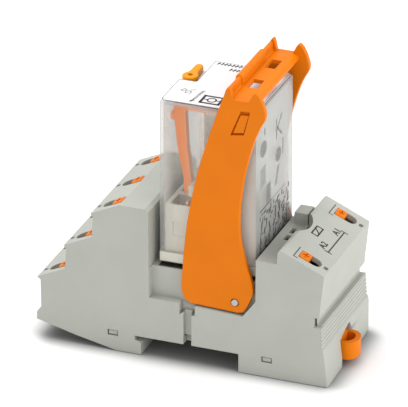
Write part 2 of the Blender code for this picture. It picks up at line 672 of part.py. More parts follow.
def lathe_x(name, profile, centre_z, sides=28):
    """A ring turned about an axis along X, from a closed (x, radius) profile."""
    bm = bmesh.new()
    rings = []
    for i in range(sides):
        turn = 2 * math.pi * i / sides
        ring = []
        for x, radius in profile:
            point = (x, radius * math.cos(turn), centre_z + radius * math.sin(turn))
            ring.append(bm.verts.new(Vector(point) * MM))
        rings.append(ring)
    count = len(profile)
    for i in range(sides):
        a, b = rings[i], rings[(i + 1) % sides]
        for j in range(count):
            k = (j + 1) % count
            bm.faces.new((a[j], a[k], b[k], b[j]))
    bmesh.ops.recalc_face_normals(bm, faces=bm.faces)
    mesh = bpy.data.meshes.new(name)
    bm.to_mesh(mesh)
    bm.free()
    made = bpy.data.objects.new(name, mesh)
    bpy.context.collection.objects.link(made)
    return made


def magnet_system():
    """Bobbin, winding, core and yoke of the coil, lying along X."""
    spool = [(4.0, 3.8), (18.2, 3.8), (18.2, 9.2), (17.2, 9.2), (17.2, 5.0), (5.0, 5.0)]
    spool += [(5.0, 9.2), (4.0, 9.2)]
    bobbin = lathe_x("bobbin", spool, COIL_AXIS_Z)
    finish(bobbin, material("relay_cream", CREAM, 0.5), 40)
    wire = [(5.3, 5.3), (16.9, 5.3), (16.9, 8.7), (5.3, 8.7)]
    winding = lathe_x("winding", wire, COIL_AXIS_Z)
    finish(winding, material("winding_green", (0.30, 0.34, 0.28), 0.5), 40)
    core = solid("core", [(disc(0.0, COIL_AXIS_Z, 3.5), "X", 2.4, 18.9)])
    join(core, [(disc(0.0, COIL_AXIS_Z, 5.2), "X", 2.0, 3.6)])
    finish(core, material("bright_steel", STEEL, 0.3, 1.0), 40)
    frame = [(1.1, 82.5), (19.2, 82.5), (19.2, 40.4), (20.6, 40.4), (20.6, 84.3), (1.1, 84.3)]
    yoke = solid("yoke", [(frame, "Y", -7.0, 7.0)])
    finish(yoke, material("bright_steel", STEEL, 0.3, 1.0))


def armature_group():
    """Armature plate, its insulating carrier and three moving contact springs."""
    steel = material("bright_steel", STEEL, 0.3, 1.0)
    armature = solid("armature", [(rectangle(-0.9, 0.6, 60.6, 83.6), "Y", -7.0, 7.0)])
    finish(armature, steel)
    carrier = solid("spring_carrier", [(rectangle(-1.7, 1.3, 56.4, 60.2), "Y", -15.0, 15.0)])
    slots = []
    for y in POLES:
        slots.append(block((-0.75, y - 2.3, 55.0), (0.45, y + 2.3, 59.0)))
    cut(carrier, slots)
    finish(carrier, material("relay_cream", CREAM, 0.5))
    parts = [armature, carrier]
    for number, y in enumerate(POLES):
        leaf = rectangle(-0.4, 0.1, 46.6, 58.6)
        spring = solid(f"moving_spring_{number + 1}", [(leaf, "Y", y - 2.0, y + 2.0)])
        join(spring, [(disc(y, 49.0, 1.2, 12), "X", -1.1, 0.8)])
        finish(spring, material("copper_alloy", COPPER, 0.35, 1.0))
        parts.append(spring)
    for part in parts:
        set_origin(part, ARMATURE_PIVOT[0], 0, ARMATURE_PIVOT[1])


def test_mechanism():
    """Orange rocker inside the cover, push stem and the lever on top of it."""
    orange = material("orange_lever", ORANGE, 0.4)
    x, y = LEVER_AT
    pivot_x, pivot_z = INDICATOR_PIVOT
    arm = [(-8.2, 83.2), (-8.2, 86.7), (pivot_x, 86.7), (pivot_x, 84.9), (-4.0, 84.9), (-4.2, 83.2)]
    arm += [(-3.6, 72.0), (-2.2, 60.4), (-2.4, 55.5), (-4.6, 55.5), (-4.9, 61.0), (-7.0, 72.0)]
    indicator = solid("indicator_arm", [(arm, "Y", -11.2, -8.8)])
    join(indicator, [(disc(pivot_x, pivot_z, 1.7, 12), "Y", -11.3, -8.7)])
    join(indicator, [block((-9.3, -11.1, 80.8), (-6.9, y + 1.2, 83.1))])
    set_origin(indicator, pivot_x, 0, pivot_z)
    finish(indicator, orange)
    stem = solid("test_stem", [(disc(x, y, 1.1), "Z", 83.5, 87.4)])
    set_origin(stem, x, y, 87.4)
    finish(stem, orange, 40)
    outline = []
    for i in range(13):
        turn = math.radians(150 + 240 * i / 12)
        outline.append((x + 2.65 * math.cos(turn), y + 2.65 * math.sin(turn)))
    outline += [(x + 1.9, y + 7.8), (x + 0.9, y + 9.0), (x - 0.6, y + 9.0), (x - 1.3, y + 8.0)]
    lever = solid("test_lever", [(outline, "Z", 87.7, 90.5)])
    cut(lever, [(disc(x, y, 0.9, 12), "Z", 89.6, 92.0)])
    set_origin(lever, x, y, 87.7)
    finish(lever, orange, 40)


def clear_scene():
    for obj in list(bpy.data.objects):
        bpy.data.objects.remove(obj)


def main():
    clear_scene()
    make_housing()
    make_base_plate()
    make_rail_foot()
    release_buttons()
    terminal_contacts()
    make_bracket()
    pivot_pins()
    make_cover()
    make_label()
    make_relay_base()
    relay_blades()
    magnet_system()
    armature_group()
    test_mechanism()


main()
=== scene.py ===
"""Looks of the plug-in relay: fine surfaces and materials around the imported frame.

Places, sizes and outlines are in millimetres, and MM turns them into the frame's metres. The lights and the
floor alone are given in metres.
"""
import json
import math
import random

import bmesh
import bpy
from mathutils import Matrix, Vector


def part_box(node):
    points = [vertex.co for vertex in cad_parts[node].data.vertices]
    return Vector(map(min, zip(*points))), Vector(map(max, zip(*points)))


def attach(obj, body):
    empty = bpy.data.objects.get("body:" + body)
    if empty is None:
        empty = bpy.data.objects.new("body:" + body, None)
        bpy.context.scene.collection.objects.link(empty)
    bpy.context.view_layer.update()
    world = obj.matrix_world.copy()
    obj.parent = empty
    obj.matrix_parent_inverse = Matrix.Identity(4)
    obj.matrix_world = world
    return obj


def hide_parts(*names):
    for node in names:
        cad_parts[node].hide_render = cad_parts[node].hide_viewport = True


MM = 0.001
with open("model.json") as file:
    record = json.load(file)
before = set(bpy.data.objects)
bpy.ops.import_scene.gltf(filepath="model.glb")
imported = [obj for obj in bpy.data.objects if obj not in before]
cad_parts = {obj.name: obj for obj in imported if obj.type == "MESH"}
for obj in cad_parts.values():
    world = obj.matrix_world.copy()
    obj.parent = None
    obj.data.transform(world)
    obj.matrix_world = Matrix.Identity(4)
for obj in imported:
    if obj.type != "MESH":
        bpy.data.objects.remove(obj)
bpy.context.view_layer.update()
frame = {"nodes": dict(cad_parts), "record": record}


def box_mm(node):
    """A CAD node's lowest and highest corners."""
    low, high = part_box(node)
    return low / MM, high / MM


# Camera: a long lens, looking down from the front and the coil side
AZIMUTH = math.radians(21.06)
ELEVATION = math.radians(26.08)
TARGET = (-1.6, -1.5, 47.8)
DISTANCE = 1932.0
LENS = 529.4

# Colours, linear
GREY = (0.385, 0.395, 0.355)
ORANGE = (0.665, 0.163, 0.0005)
LEVER_ORANGE = (0.740, 0.270, 0.001)
ARM_ORANGE = (0.980, 0.240, 0.008)
CREAM = (0.650, 0.640, 0.560)
HAZE = (0.475, 0.480, 0.455)
PRINT = (0.012, 0.012, 0.013)

# Socket
HALF_WIDTH = box_mm("housing")[1].y
SEAT_TOP = 31.7
SEAT_SHADE_OUTSIDE = 1.1                # how far the painted shade in the gap under the relay reaches out from the relay base's side
SEAT_SHADE_INSIDE = 1.8                 # and in below the relay base
# Painted shade also lies on the floors of the two ledge slots and of the end notches
SLOT_FLOOR = 39.9                   # height of the two ledge slots' floors
SLOT_ENDS = (26.52, 28.08)
SLOT_SIDES = ((-4.18, -0.62), (1.22, 4.78))
NOTCH_DEPTH = 1.5
NOTCH = [(43.6, 20.8), (44.15, 20.8), (44.05, 24.0), (43.6, 24.0)]
COIL_SLOPE = math.radians(24)       # the terminal faces' slopes, at either end of the socket
CONTACT_SLOPE = math.radians(25)
COIL_EDGE = (46.9, 0.0, 39.5)       # middle of the coil terminals' outer edge
COIL_BUTTONS_Y = (-16.5, 16.5)
BUTTON_HALF = (1.85, 2.15, 2.175)   # half its length along the slope, width and height
BUTTON_CROSS = 0.45                 # depth of the cross for a blade

# Bracket, which turns about an axis across the socket
ARM_OUTER = box_mm("bracket")[1].y
ARM_INNER = 19.0
ARM_RIM = 0.3
PIVOT = (16.4, 24.5)
PIVOT_HOLE = 1.4
BRIDGE_TOP = 95.95
BRIDGE_HOLLOW = (14.9, 21.2, -12.0, 14.0)
HOLLOW_TOP = 94.6
RIDGE_ENDS = (-9.6, 11.5)
WINDOWS_Y = (-7.0, 9.0)             # middles of the bridge's two windows
WINDOW_ENDS = (16.2, 19.8)
WINDOW_HALF = 3.3
LUG_ENDS = (-0.8, 3.2)
LUG_HEIGHTS = (31.98, 32.68)
LUG_INNER = 15.6
CATCH_DEPTH = 1.2                   # window round the tongue on each arm

# Relay
RELAY_HIGH = box_mm("relay_cover")[1]
RELAY_TOP = box_mm("relay_label")[1].z
COVER_EDGE = 0.6
LABEL_THICKNESS = 0.3
LABEL_CORNER = 0.8
LEVER_AT = (-8.1, 3.2)
LEVER_HEAD = 2.65
LEVER_HOLE = 0.9                    # both its radius and its depth
WINDING_BORE = 5.3
WIRE = 0.2

# Floor: the footprint that its band of painted soft shadow surrounds, how far the band reaches, and its two
# tones
FOOT_MIDDLE = (-1.0, 0.0)
FOOT_HALF = (46.0, 17.0)
BAND = 12.0
FLOOR_SHADOW = (0.22, 0.22, 0.22)
FLOOR_PALE = (0.86, 0.86, 0.86)

# Lights: name, place, size and watts
LIGHTS = (("key", (-0.45, 0.1, 1.1), 0.9, 9.0), ("side", (1.1, -0.2, 0.6), 0.8, 8.0))
LIGHTS_AIM = (0, 0, 0.05)
SURROUND = 0.9


# ---------------------------------------------------------------- materials

class Nodes:
    """A short way to write a material's node tree."""

    def __init__(self, name):
        self.material = bpy.data.materials.new(name)
        self.material.use_nodes = True
        self.tree = self.material.node_tree
        self.shader = self.tree.nodes["Principled BSDF"]
        self.place = self.add("ShaderNodeTexCoord").outputs["Object"]

    def add(self, kind, **values):
        """A new node; each value is set on the input of that name, or else as a property."""
        node = self.tree.nodes.new(kind)
        for key, value in values.items():
            if key in node.inputs:
                node.inputs[key].default_value = value
            else:
                setattr(node, key, value)
        return node

    def link(self, source, target):
        self.tree.links.new(source, target)

    def along(self, axis):
        """The place along one axis, in metres."""
        node = self.add("ShaderNodeSeparateXYZ")
        self.link(self.place, node.inputs["Vector"])
        return node.outputs[axis]

    def maths(self, operation, first, second=None, clamp=False):
        """One step of arithmetic on node outputs and plain numbers."""
        node = self.add("ShaderNodeMath", operation=operation, use_clamp=clamp)
        for socket, value in zip(node.inputs, (first, second)):
            if isinstance(value, bpy.types.NodeSocket):
                self.link(value, socket)
            elif value is not None:
                socket.default_value = value
        return node.outputs[0]

    def noise(self, scale, detail=2.0):
        """Random variation with this many features in a metre."""
        node = self.add("ShaderNodeTexNoise", Scale=scale, Detail=detail)
        self.link(self.place, node.inputs["Vector"])
        return node.outputs["Fac"]

    def ramp(self, factor, low, high, start=0.3, end=0.7):
        """A colour that goes from low to high as the factor goes from start to end."""
        node = self.add("ShaderNodeValToRGB")
        node.color_ramp.elements[0].position = start
        node.color_ramp.elements[1].position = end
        node.color_ramp.elements[0].color = (*low, 1.0)
        node.color_ramp.elements[1].color = (*high, 1.0)
        self.link(factor, node.inputs["Fac"])
        return node.outputs["Color"]

    def spread(self, factor, low, high, start=0.0, end=1.0, shape="LINEAR"):
        """A number that goes from low to high as the factor goes from start to end."""
        node = self.add("ShaderNodeMapRange", interpolation_type=shape)
        for name, value in (("From Min", start), ("From Max", end), ("To Min", low), ("To Max", high)):
            node.inputs[name].default_value = value
        self.link(factor, node.inputs["Value"])
        return node.outputs["Result"]

    def bump(self, height, strength, distance, under=None):
        """Fine relief on the surface, on top of an earlier normal if one is given."""
        node = self.add("ShaderNodeBump", Strength=strength, Distance=distance * MM)
        self.link(height, node.inputs["Height"])
        if under is not None:
            self.link(under, node.inputs["Normal"])
        self.link(node.outputs["Normal"], self.shader.inputs["Normal"])


def shade(colour, factor):
    """The colour made lighter or darker."""
    return tuple(min(1.0, c * factor) for c in colour)


def moulded(name, colour, roughness, variation=0.04, grain=0.10, edge=0.25, gloss=0.4):
    """Moulded plastic: faint flow marks, fine spark-eroded grain and softened edges."""
    n = Nodes(name)
    tone = n.ramp(n.noise(60.0, 4.0), shade(colour, 1 - variation), shade(colour, 1 + variation))
    n.link(tone, n.shader.inputs["Base Color"])
    n.link(n.spread(n.noise(900.0), roughness - 0.06, roughness + 0.06), n.shader.inputs["Roughness"])
    rounded = n.add("ShaderNodeBevel", samples=6, Radius=edge * MM)
    n.bump(n.noise(4200.0, 3.0), grain, 0.03, rounded.outputs["Normal"])
    n.shader.inputs["Specular IOR Level"].default_value = gloss
    return n.material


def metal(name, colour, roughness):
    """Drawn or plated metal with fine streaks."""
    n = Nodes(name)
    tone = n.ramp(n.noise(500.0, 5.0), shade(colour, 0.85), shade(colour, 1.1))
    n.link(tone, n.shader.inputs["Base Color"])
    n.link(n.spread(n.noise(2500.0), roughness - 0.08, roughness + 0.1), n.shader.inputs["Roughness"])
    n.bump(n.noise(6000.0), 0.08, 0.02)
    n.shader.inputs["Metallic"].default_value = 0.6
    return n.material


def clear_plastic(name, colour, thin, thick, bands=()):
    """Clear plastic with uneven haze between two strengths, and bands of more haze.

    Each band gives the two places along X that it runs between, then its strength at either.
    """
    n = Nodes(name)
    n.shader.inputs["Base Color"].default_value = (*colour, 1.0)
    n.shader.inputs["Roughness"].default_value = 0.10
    n.shader.inputs["IOR"].default_value = 1.5
    haze = n.spread(n.noise(45.0, 3.0), thin, thick)
    for start, end, first, last in bands:
        haze = n.maths("MAXIMUM", haze, n.spread(n.along("X"), first, last, start * MM, end * MM))
    n.link(haze, n.shader.inputs["Alpha"])
    n.bump(n.noise(160.0), 0.05, 0.05)
    return n.material


def printed(name, colour, cover=1.0):
    """Pad-printed ink, slightly uneven."""
    n = Nodes(name)
    tone = n.ramp(n.noise(1500.0, 3.0), shade(colour, 0.8), shade(colour, 1.5))
    n.link(tone, n.shader.inputs["Base Color"])
    n.shader.inputs["Roughness"].default_value = 0.55
    n.shader.inputs["Alpha"].default_value = cover
    return n.material


GREY_PLASTIC = moulded("grey_moulding", GREY, 0.52)
ORANGE_PLASTIC = moulded("orange_moulding", ORANGE, 0.40, grain=0.06, gloss=0.12)
INNER_ORANGE = moulded("inner_orange", ARM_ORANGE, 0.40, grain=0.06, gloss=0.12)
LEVER_PLASTIC = moulded("lever_moulding", LEVER_ORANGE, 0.35, grain=0.05, gloss=0.15)
CREAM_PLASTIC = moulded("cream_moulding", CREAM, 0.45)
PIN_PLASTIC = moulded("pin_moulding", (0.43, 0.43, 0.40), 0.35, variation=0.03, grain=0.05)
LABEL_WHITE = moulded("label_stock", (0.72, 0.72, 0.73), 0.42, variation=0.012, grain=0.03, edge=0.1)
WINDING_TAPE = moulded("winding_tape", (0.36, 0.40, 0.33), 0.5, variation=0.08, grain=0.15)
COPPER = metal("copper_strip", (0.80, 0.45, 0.25), 0.30)
STEEL = metal("plated_steel", (0.86, 0.83, 0.75), 0.50)

# The cover's front is hazier from its middle to the coil side, and near its edge beside the terminals, where
# the extra haze is partly painted light that lightens a strip lying in shade
HAZE_AND_LIGHT_BANDS = ((-9.5, -4.5, 0.28, 0.0), (-6.0, 10.0, 0.0, 0.46))
CLEAR = clear_plastic("clear_cover", (0.75, 0.74, 0.68), 0.05, 0.12, HAZE_AND_LIGHT_BANDS)
MILKY_SIDE = clear_plastic("milky_side", HAZE, 0.55, 0.65)
MILKY_BACK = clear_plastic("milky_back", HAZE, 0.45, 0.55)
COVER_RIM = clear_plastic("cover_rim", (0.50, 0.51, 0.51), 0.40, 0.55)
COVER_CORNER = clear_plastic("cover_corner", (0.22, 0.22, 0.22), 0.50, 0.65)
COVER_LOOKS = (CLEAR, MILKY_SIDE, MILKY_BACK, COVER_RIM, COVER_CORNER)

INK = printed("dark_ink", PRINT)
GREY_INK = printed("grey_ink", (0.05, 0.048, 0.045), 0.85)
PALE_INK = printed("pale_ink", (0.20, 0.20, 0.19), 0.70)
# Painted shade, not print: dark sheets on floors that are dark only from shade
PAINTED_RECESS_SHADE = printed("painted_recess_shade", (0.020, 0.022, 0.020))
# Painted shade for the test lever's hole: a dark copy of the lever's orange
LEVER_HOLE_SHADE = printed("lever_hole_painted_shade", (0.30, 0.065, 0.002))


# ---------------------------------------------------------------- shapes

def new_object(name, data):
    """An object in the scene that shows a mesh, a curve, a light or a camera."""
    made = bpy.data.objects.new(name, data)
    bpy.context.scene.collection.objects.link(made)
    return made


def link_mesh(name, bm):
    """A new object from mesh data, outward facing."""
    bmesh.ops.recalc_face_normals(bm, faces=bm.faces)
    mesh = bpy.data.meshes.new(name)
    bm.to_mesh(mesh)
    bm.free()
    return new_object(name, mesh)


def to_axes(axis, a, b, along):
    """The point that lies so far along an axis, and at a and b on the other two."""
    point = {"X": (along, a, b), "Y": (a, along, b), "Z": (a, b, along)}[axis]
    return Vector(point) * MM


def area(points):
    """An outline's area, positive when it runs anticlockwise."""
    total = 0.0
    for i, (a, b) in enumerate(points):
        c, d = points[(i + 1) % len(points)]
        total += a * d - b * c
    return total / 2


def inset(points, distance):
    """The outline moved inwards by a distance, corner by corner."""
    sign = 1.0 if area(points) > 0 else -1.0
    moved = []
    count = len(points)
    for i in range(count):
        here = Vector(points[i])
        before = (here - Vector(points[i - 1])).normalized()
        after = (Vector(points[(i + 1) % count]) - here).normalized()
        normal_a = Vector((-before.y, before.x)) * sign
        normal_b = Vector((-after.y, after.x)) * sign
        middle = (normal_a + normal_b).normalized()
        moved.append(tuple(here + middle * (distance / max(0.4, middle.dot(normal_a)))))
    return moved


def round_corners(points, radius, steps=4, keep_above=160.0):
    """The outline with its corners turned into curves; corners wider than keep_above degrees stay."""
    made = []
    count = len(points)
    for i in range(count):
        here = Vector(points[i])
        back = Vector(points[i - 1]) - here
        ahead = Vector(points[(i + 1) % count]) - here
        angle = back.angle(ahead)
        if math.degrees(angle) > keep_above:
            made.append(tuple(here))
            continue
        reach = min(radius / math.tan(angle / 2), 0.45 * back.length, 0.45 * ahead.length)
        start = here + back.normalized() * reach
        end = here + ahead.normalized() * reach
        for k in range(steps + 1):
            t = k / steps
            made.append(tuple(start * (1 - t) ** 2 + here * (2 * t * (1 - t)) + end * t ** 2))
    return made


def add_prism(bm, outline, axis, low, high, rim=0.0, steps=3):
    """One closed extrusion whose two rims are rounded."""
    levels = [(low, 0.0), (high, 0.0)]
    if rim:
        turns = [math.pi / 2 * k / steps for k in range(steps + 1)]
        levels = [(low + rim * (1 - math.cos(t)), rim * (1 - math.sin(t))) for t in turns]
        levels += [(high - rim * (1 - math.cos(t)), rim * (1 - math.sin(t))) for t in reversed(turns)]
    rings = []
    for along, inward in levels:
        ring = inset(outline, inward) if inward else outline
        rings.append([bm.verts.new(to_axes(axis, a, b, along)) for a, b in ring])
    bm.faces.new(rings[0])
    bm.faces.new(rings[-1])
    count = len(outline)
    for lower, upper in zip(rings, rings[1:]):
        for i in range(count):
            j = (i + 1) % count
            bm.faces.new((lower[i], lower[j], upper[j], upper[i]))


def solid(name, prisms):
    """An object of separate extrusions, each given as add_prism's arguments."""
    bm = bmesh.new()
    for prism in prisms:
        add_prism(bm, *prism)
    return link_mesh(name, bm)


def rectangle(low_a, high_a, low_b, high_b):
    """A rectangle's outline."""
    return [(low_a, low_b), (high_a, low_b), (high_a, high_b), (low_a, high_b)]


def arc(centre_a, centre_b, radius, start, sweep, steps):
    """Points from one end of an arc to the other, its angles in degrees."""
    turns = [math.radians(start + sweep * i / steps) for i in range(steps + 1)]
    return [(centre_a + radius * math.cos(turn), centre_b + radius * math.sin(turn)) for turn in turns]


def disc(centre_a, centre_b, radius, sides=32):
    """A round outline."""
    return arc(centre_a, centre_b, radius, 0, 360, sides)[:-1]


def combine(target, tool, operation):
    """Cut a closed object from another or join them; the result stays on the first."""
    modifier = target.modifiers.new("combine", "BOOLEAN")
    modifier.operation = operation
    modifier.solver = "EXACT"
    modifier.object = tool
    graph = bpy.context.evaluated_depsgraph_get()
    mesh = bpy.data.meshes.new_from_object(target.evaluated_get(graph))
    target.modifiers.clear()
    target.data = mesh
    bpy.data.objects.remove(tool)


def cut(target, prisms):
    """Take extrusions away from a piece."""
    combine(target, solid("cutter", prisms), "DIFFERENCE")


def join(target, prisms):
    """Add extrusions to a piece."""
    combine(target, solid("addition", prisms), "UNION")


def shaded(obj, look, smooth_below=35):
    """Give a piece its material and smooth its round faces."""
    obj.data.materials.clear()
    obj.data.materials.append(look)
    obj.data.shade_smooth()
    obj.data.set_sharp_from_angle(angle=math.radians(smooth_below))
    normals = obj.modifiers.new("flat_faces_flat", "WEIGHTED_NORMAL")
    normals.keep_sharp = True


def cad_mesh(node):
    """A CAD node's mesh with its split points merged."""
    bm = bmesh.new()
    bm.from_mesh(frame["nodes"][node].data)
    bmesh.ops.remove_doubles(bm, verts=bm.verts, dist=0.002 * MM)
    return bm


def softened_copy(node, name, width, segments=2):
    """A CAD node's shape with merged flat faces and rounded edges.

    An edge is left as it is if it turns by less than 25 degrees, or if it or an edge that meets it is too
    short for the width.
    """
    bm = cad_mesh(node)
    bmesh.ops.dissolve_limit(bm, angle_limit=math.radians(0.5), verts=bm.verts, edges=bm.edges)
    slight = math.radians(25)
    least = 2.4 * width * MM
    edges = []
    for edge in bm.edges:
        if len(edge.link_faces) != 2 or edge.calc_face_angle() < slight:
            continue
        neighbours = [other for vert in edge.verts for other in vert.link_edges]
        if min(other.calc_length() for other in neighbours) > least:
            edges.append(edge)
    bmesh.ops.bevel(bm, geom=edges, offset=width * MM, offset_type="OFFSET", segments=segments,
                    profile=0.5, affect="EDGES", clamp_overlap=True)
    return link_mesh(name, bm)


def flat_outlines(node, axis, at):
    """Loops around a CAD node's flat faces at one height along an axis, largest first, in mm."""
    along = "XYZ".index(axis)
    others = [i for i in range(3) if i != along]
    bm = cad_mesh(node)
    flat = set()
    for face in bm.faces:
        if abs(face.normal[along]) > 0.999 and abs(face.calc_center_median()[along] / MM - at) < 0.02:
            flat.add(face)
    links = {}
    for edge in bm.edges:
        if sum(face in flat for face in edge.link_faces) == 1:
            for vert in edge.verts:
                links.setdefault(vert, []).append(edge.other_vert(vert))
    loops = []
    while links:
        here = next(iter(links))
        loop, before = [], None
        while here in links:
            loop.append(here)
            ahead = [vert for vert in links.pop(here) if vert is not before]
            before, here = here, ahead[0]
        loops.append([(vert.co[others[0]] / MM, vert.co[others[1]] / MM) for vert in loop])
    bm.free()
    loops.sort(key=lambda loop: -abs(area(loop)))
    return loops


# ---------------------------------------------------------------- marks

class Marks:
    """Thin printed marks on one flat face, drawn in that face's own millimetres."""

    LIFT = 0.005
    CAPITALS = 0.7      # height of a capital letter in a font of size 1
    BOLDER = 0.035      # growth of each letter's outline, as a share of its height

    def __init__(self, origin, right, up, thickness=0.03):
        right = Vector(right).normalized()
        up = Vector(up).normalized()
        self.matrix = Matrix((right, up, right.cross(up))).transposed().to_4x4()
        self.matrix.translation = Vector(origin) * MM
        self.matrix = self.matrix @ Matrix.Scale(MM, 4)
        self.thickness = thickness
        self.bm = bmesh.new()

    def polygon(self, points):
        """A filled outline."""
        rings = []
        for lift in (self.LIFT, self.LIFT + self.thickness):
            rings.append([self.bm.verts.new(self.matrix @ Vector((a, b, lift))) for a, b in points])
        self.bm.faces.new(rings[0])
        self.bm.faces.new(rings[1])
        for i in range(len(points)):
            j = (i + 1) % len(points)
            self.bm.faces.new((rings[0][i], rings[0][j], rings[1][j], rings[1][i]))

    def line(self, start, end, width):
        """A straight stroke with square ends."""
        a, b = Vector(start), Vector(end)
        along = (b - a).normalized() * (width / 2)
        side = Vector((-along.y, along.x))
        corners = (a - along - side, b + along - side, b + along + side, a - along + side)
        self.polygon([tuple(corner) for corner in corners])

    def path(self, points, width):
        """Strokes from point to point."""
        for start, end in zip(points, points[1:]):
            self.line(start, end, width)

    def text(self, words, centre, height):
        """Lettering of this capital height, with its middle at the centre."""
        curve = bpy.data.curves.new("lettering", "FONT")
        curve.body = words
        curve.size = height / self.CAPITALS
        curve.align_x = "CENTER"
        curve.align_y = "CENTER"
        curve.extrude = self.thickness / 2
        curve.offset = self.BOLDER * height
        curve.resolution_u = 3
        obj = new_object("lettering", curve)
        graph = bpy.context.evaluated_depsgraph_get()
        mesh = bpy.data.meshes.new_from_object(obj.evaluated_get(graph))
        shift = Matrix.Translation((*centre, self.LIFT + self.thickness / 2))
        mesh.transform(self.matrix @ shift)
        self.bm.from_mesh(mesh)
        bpy.data.objects.remove(obj)

    def finish(self, name, body, look):
        """Turn what was drawn into one piece that rides on a body."""
        obj = link_mesh(name, self.bm)
        obj.data.materials.append(look)
        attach(obj, body)


# ---------------------------------------------------------------- socket

def make_housing():
    """Socket shell with softened edges."""
    piece = softened_copy("housing", "socket_shell", 0.16)
    shaded(piece, GREY_PLASTIC)
    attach(piece, "socket")
    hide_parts("housing")


def paint_recess_shade():
    """Painted shade: dark sheets where the seat lies in shade along two sides of the relay, on the floors of
    the ledge's slots and on the floors of the end notches.
    """
    low, high = box_mm("relay_base")
    seat = Marks((0, 0, SEAT_TOP), (1, 0, 0), (0, 1, 0))
    seat.polygon(rectangle(low.x, high.x, low.y - SEAT_SHADE_OUTSIDE, low.y + SEAT_SHADE_INSIDE))
    seat.polygon(rectangle(low.x, high.x, high.y - SEAT_SHADE_INSIDE, high.y + SEAT_SHADE_OUTSIDE))
    seat.finish("seat_gap_painted_shade", "socket", PAINTED_RECESS_SHADE)
    ledge = Marks((0, 0, SLOT_FLOOR), (1, 0, 0), (0, 1, 0))
    for sides in SLOT_SIDES:
        ledge.polygon(rectangle(*SLOT_ENDS, *sides))
    ledge.finish("ledge_slot_painted_shade", "socket", PAINTED_RECESS_SHADE)
    for name, side in (("front", -1), ("rear", 1)):
        notch = Marks((0, side * (HALF_WIDTH - NOTCH_DEPTH), 0), (-side, 0, 0), (0, 0, 1))
        notch.polygon([(-side * x, z) for x, z in NOTCH])
        notch.finish(f"notch_painted_shade_{name}", "socket", PAINTED_RECESS_SHADE)


def coil_marks():
    """Terminal numbers, coil symbol and its leads, and a corner line at each button."""
    uphill = (-math.cos(COIL_SLOPE), 0, math.sin(COIL_SLOPE))
    marks = Marks(COIL_EDGE, (0, 1, 0), uphill)
    marks.text("A1", (5.6, 6.0), 2.3)
    marks.text("A2", (-5.4, 6.6), 2.3)
    marks.path([(-7.6, 4.0), (7.6, 4.0)], 0.42)
    for side in (-1, 1):
        marks.path([(side * 7.6, 2.9), (side * 7.6, 5.1)], 0.42)
    marks.path([(-2.6, 10.0), (2.6, 10.0), (2.6, 12.2), (-2.6, 12.2), (-2.6, 10.0)], 0.5)
    marks.line((-1.1, 10.0), (1.1, 12.2), 0.5)
    for y in COIL_BUTTONS_Y:
        marks.path([(y - 3.4, 10.6), (y - 3.4, 12.0), (y + 3.0, 12.0)], 0.3)
    marks.finish("coil_marks", "socket", INK)


def make_base_plate():
    """Plate on the rail side with softened edges."""
    piece = softened_copy("base_plate", "rail_side_plate", 0.15)
    shaded(piece, GREY_PLASTIC)
    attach(piece, "socket")
    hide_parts("base_plate")


def make_rail_foot():
    """Sliding rail foot with its pull cup, with softened edges."""
    piece = softened_copy("rail_foot", "rail_foot_slide", 0.25)
    shaded(piece, ORANGE_PLASTIC)
    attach(piece, "rail_foot")
    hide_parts("rail_foot")


def button_mesh():
    """One release button about the middle of its body: domed rim and a cross for a blade."""
    half_length, half_width, half_height = BUTTON_HALF
    outline = round_corners(rectangle(-half_length, half_length, -half_width, half_width), 0.8)
    button = solid("button", [(outline, "Z", -half_height, half_height, 0.4)])
    floor = half_height - BUTTON_CROSS
    above = half_height + 1
    for along, across in ((1.05, 0.28), (0.28, 1.35)):
        cut(button, [(rectangle(-along, along, -across, across), "Z", floor, above)])
    mesh = button.data
    bpy.data.objects.remove(button)
    return mesh


def make_buttons():
    """The same button in all eleven terminals, set square to its sloping face."""
    shape = button_mesh()
    for node in frame["nodes"]:
        if not node.startswith("button_"):
            continue
        tilt = COIL_SLOPE if "coil" in node else -CONTACT_SLOPE
        corners = [vert.co for vert in frame["nodes"][node].data.vertices]
        middle = sum(corners, Vector()) / len(corners)
        mesh = shape.copy()
        mesh.transform(Matrix.Translation(middle) @ Matrix.Rotation(tilt, 4, "Y"))
        piece = new_object(f"release_{node}", mesh)
        shaded(piece, ORANGE_PLASTIC)
        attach(piece, node)
        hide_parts(node)


# ---------------------------------------------------------------- bracket

def add_bridge(piece):
    """Bridge between the arms, with its upright wall, the ridge on that wall and two windows."""
    span = ARM_OUTER - 0.4
    floor = [(12.4, 93.6), (21.8, 93.1), (22.5, 93.3), (22.9, 93.9), (23.0, 94.4), (22.8, 95.0), (22.4, 95.5)]
    top = [(21.8, 95.7), (20.6, BRIDGE_TOP), (14.6, BRIDGE_TOP)]
    wall = [(14.2, 96.3), (14.1, 98.6), (13.7, 99.0), (13.1, 98.9), (12.0, 95.4)]
    join(piece, [(floor + top + wall, "Y", -span, span)])
    ridge = [(11.9, 95.4), (14.6, 96.0), (14.7, 98.2), (14.5, 98.9), (14.1, 99.4), (13.5, 99.7), (12.9, 99.5)]
    ridge += [(12.4, 99.0), (12.1, 98.3)]
    join(piece, [(ridge, "Y", *RIDGE_ENDS, 0.4)])
    for y in WINDOWS_Y:
        window = round_corners(rectangle(*WINDOW_ENDS, y - WINDOW_HALF, y + WINDOW_HALF), 0.4)
        cut(piece, [(window, "Z", 90.0, 99.0)])


def add_lugs(piece):
    """Flat lugs that reach from the arms to below the relay and lift it."""
    for side in (-1, 1):
        low, high = sorted((side * LUG_INNER, side * (ARM_INNER + 0.6)))
        join(piece, [(rectangle(*LUG_ENDS, low, high), "Z", *LUG_HEIGHTS)])


